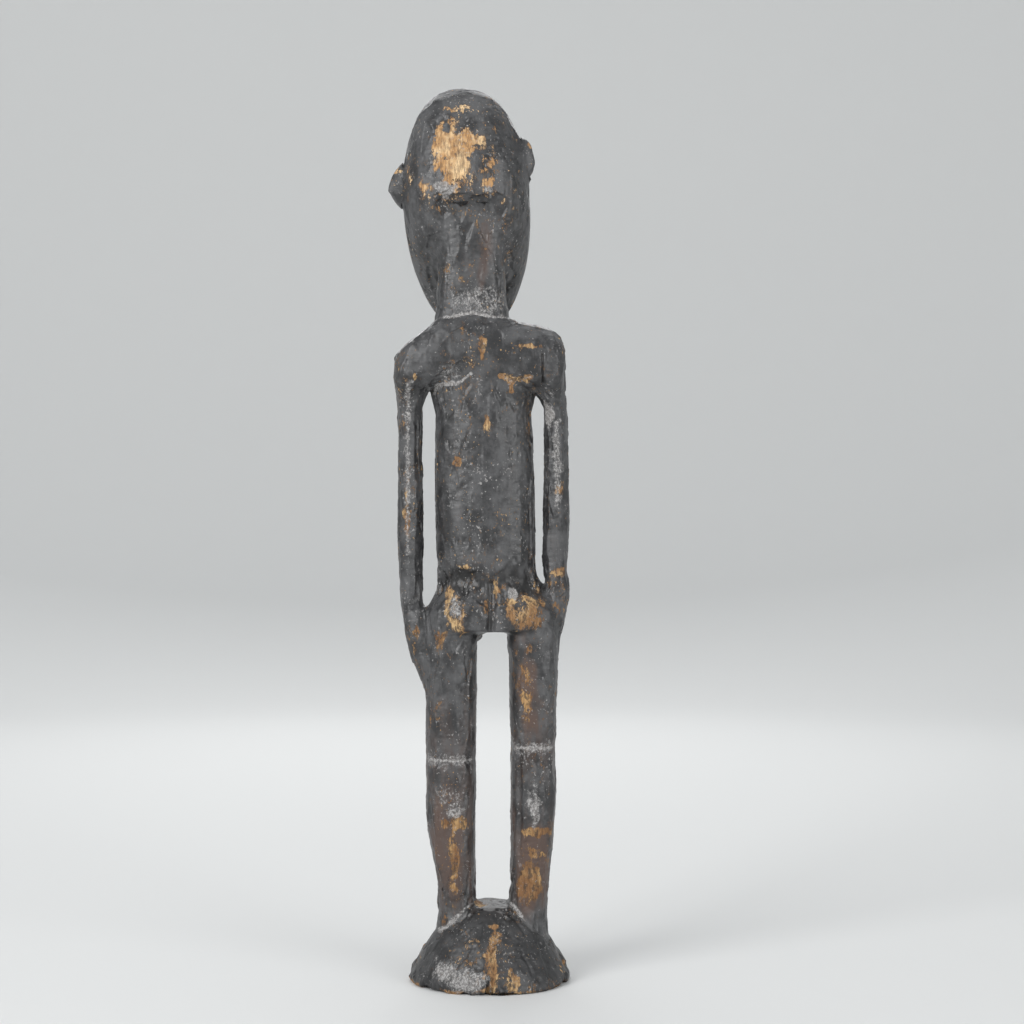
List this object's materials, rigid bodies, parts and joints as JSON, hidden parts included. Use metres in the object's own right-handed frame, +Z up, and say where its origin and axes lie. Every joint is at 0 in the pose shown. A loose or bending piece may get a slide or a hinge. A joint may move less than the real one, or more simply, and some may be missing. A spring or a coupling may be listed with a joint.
{
  "type": "carved wooden ancestor figure",
  "caption": "Slim standing ancestor figure carved from one log, long arms held clear of the body, legs rising from a conical mound; worn black paint.",
  "frame": {"origin": "centre of the flat underside of the mound that the figure stands on", "axes": "+Z up along the log, towards the crown; the figure faces -Y, so its own left side is +X"},
  "size_m": [0.1353, 0.121, 0.6588],
  "materials": {
    "black_paint": "worn black paint, satin, with bare tan patches",
    "brown_black_paint": "thin brown-black paint, rubbed to ochre on the raised parts",
    "mound_paint": "worn black paint, bare and tan at the rim"
  },
  "bodies": {
    "root": {"head": "black_paint", "left_ear": "black_paint", "right_ear": "black_paint", "neck": "black_paint", "torso": "black_paint", "left_arm": "black_paint", "right_arm": "black_paint", "hips": "black_paint", "left_hand": "brown_black_paint", "right_hand": "brown_black_paint", "left_thigh": "brown_black_paint", "right_thigh": "brown_black_paint", "left_shin": "brown_black_paint", "right_shin": "brown_black_paint", "left_foot": "brown_black_paint", "right_foot": "brown_black_paint", "base": "mound_paint"}
  },
  "joints": []
}
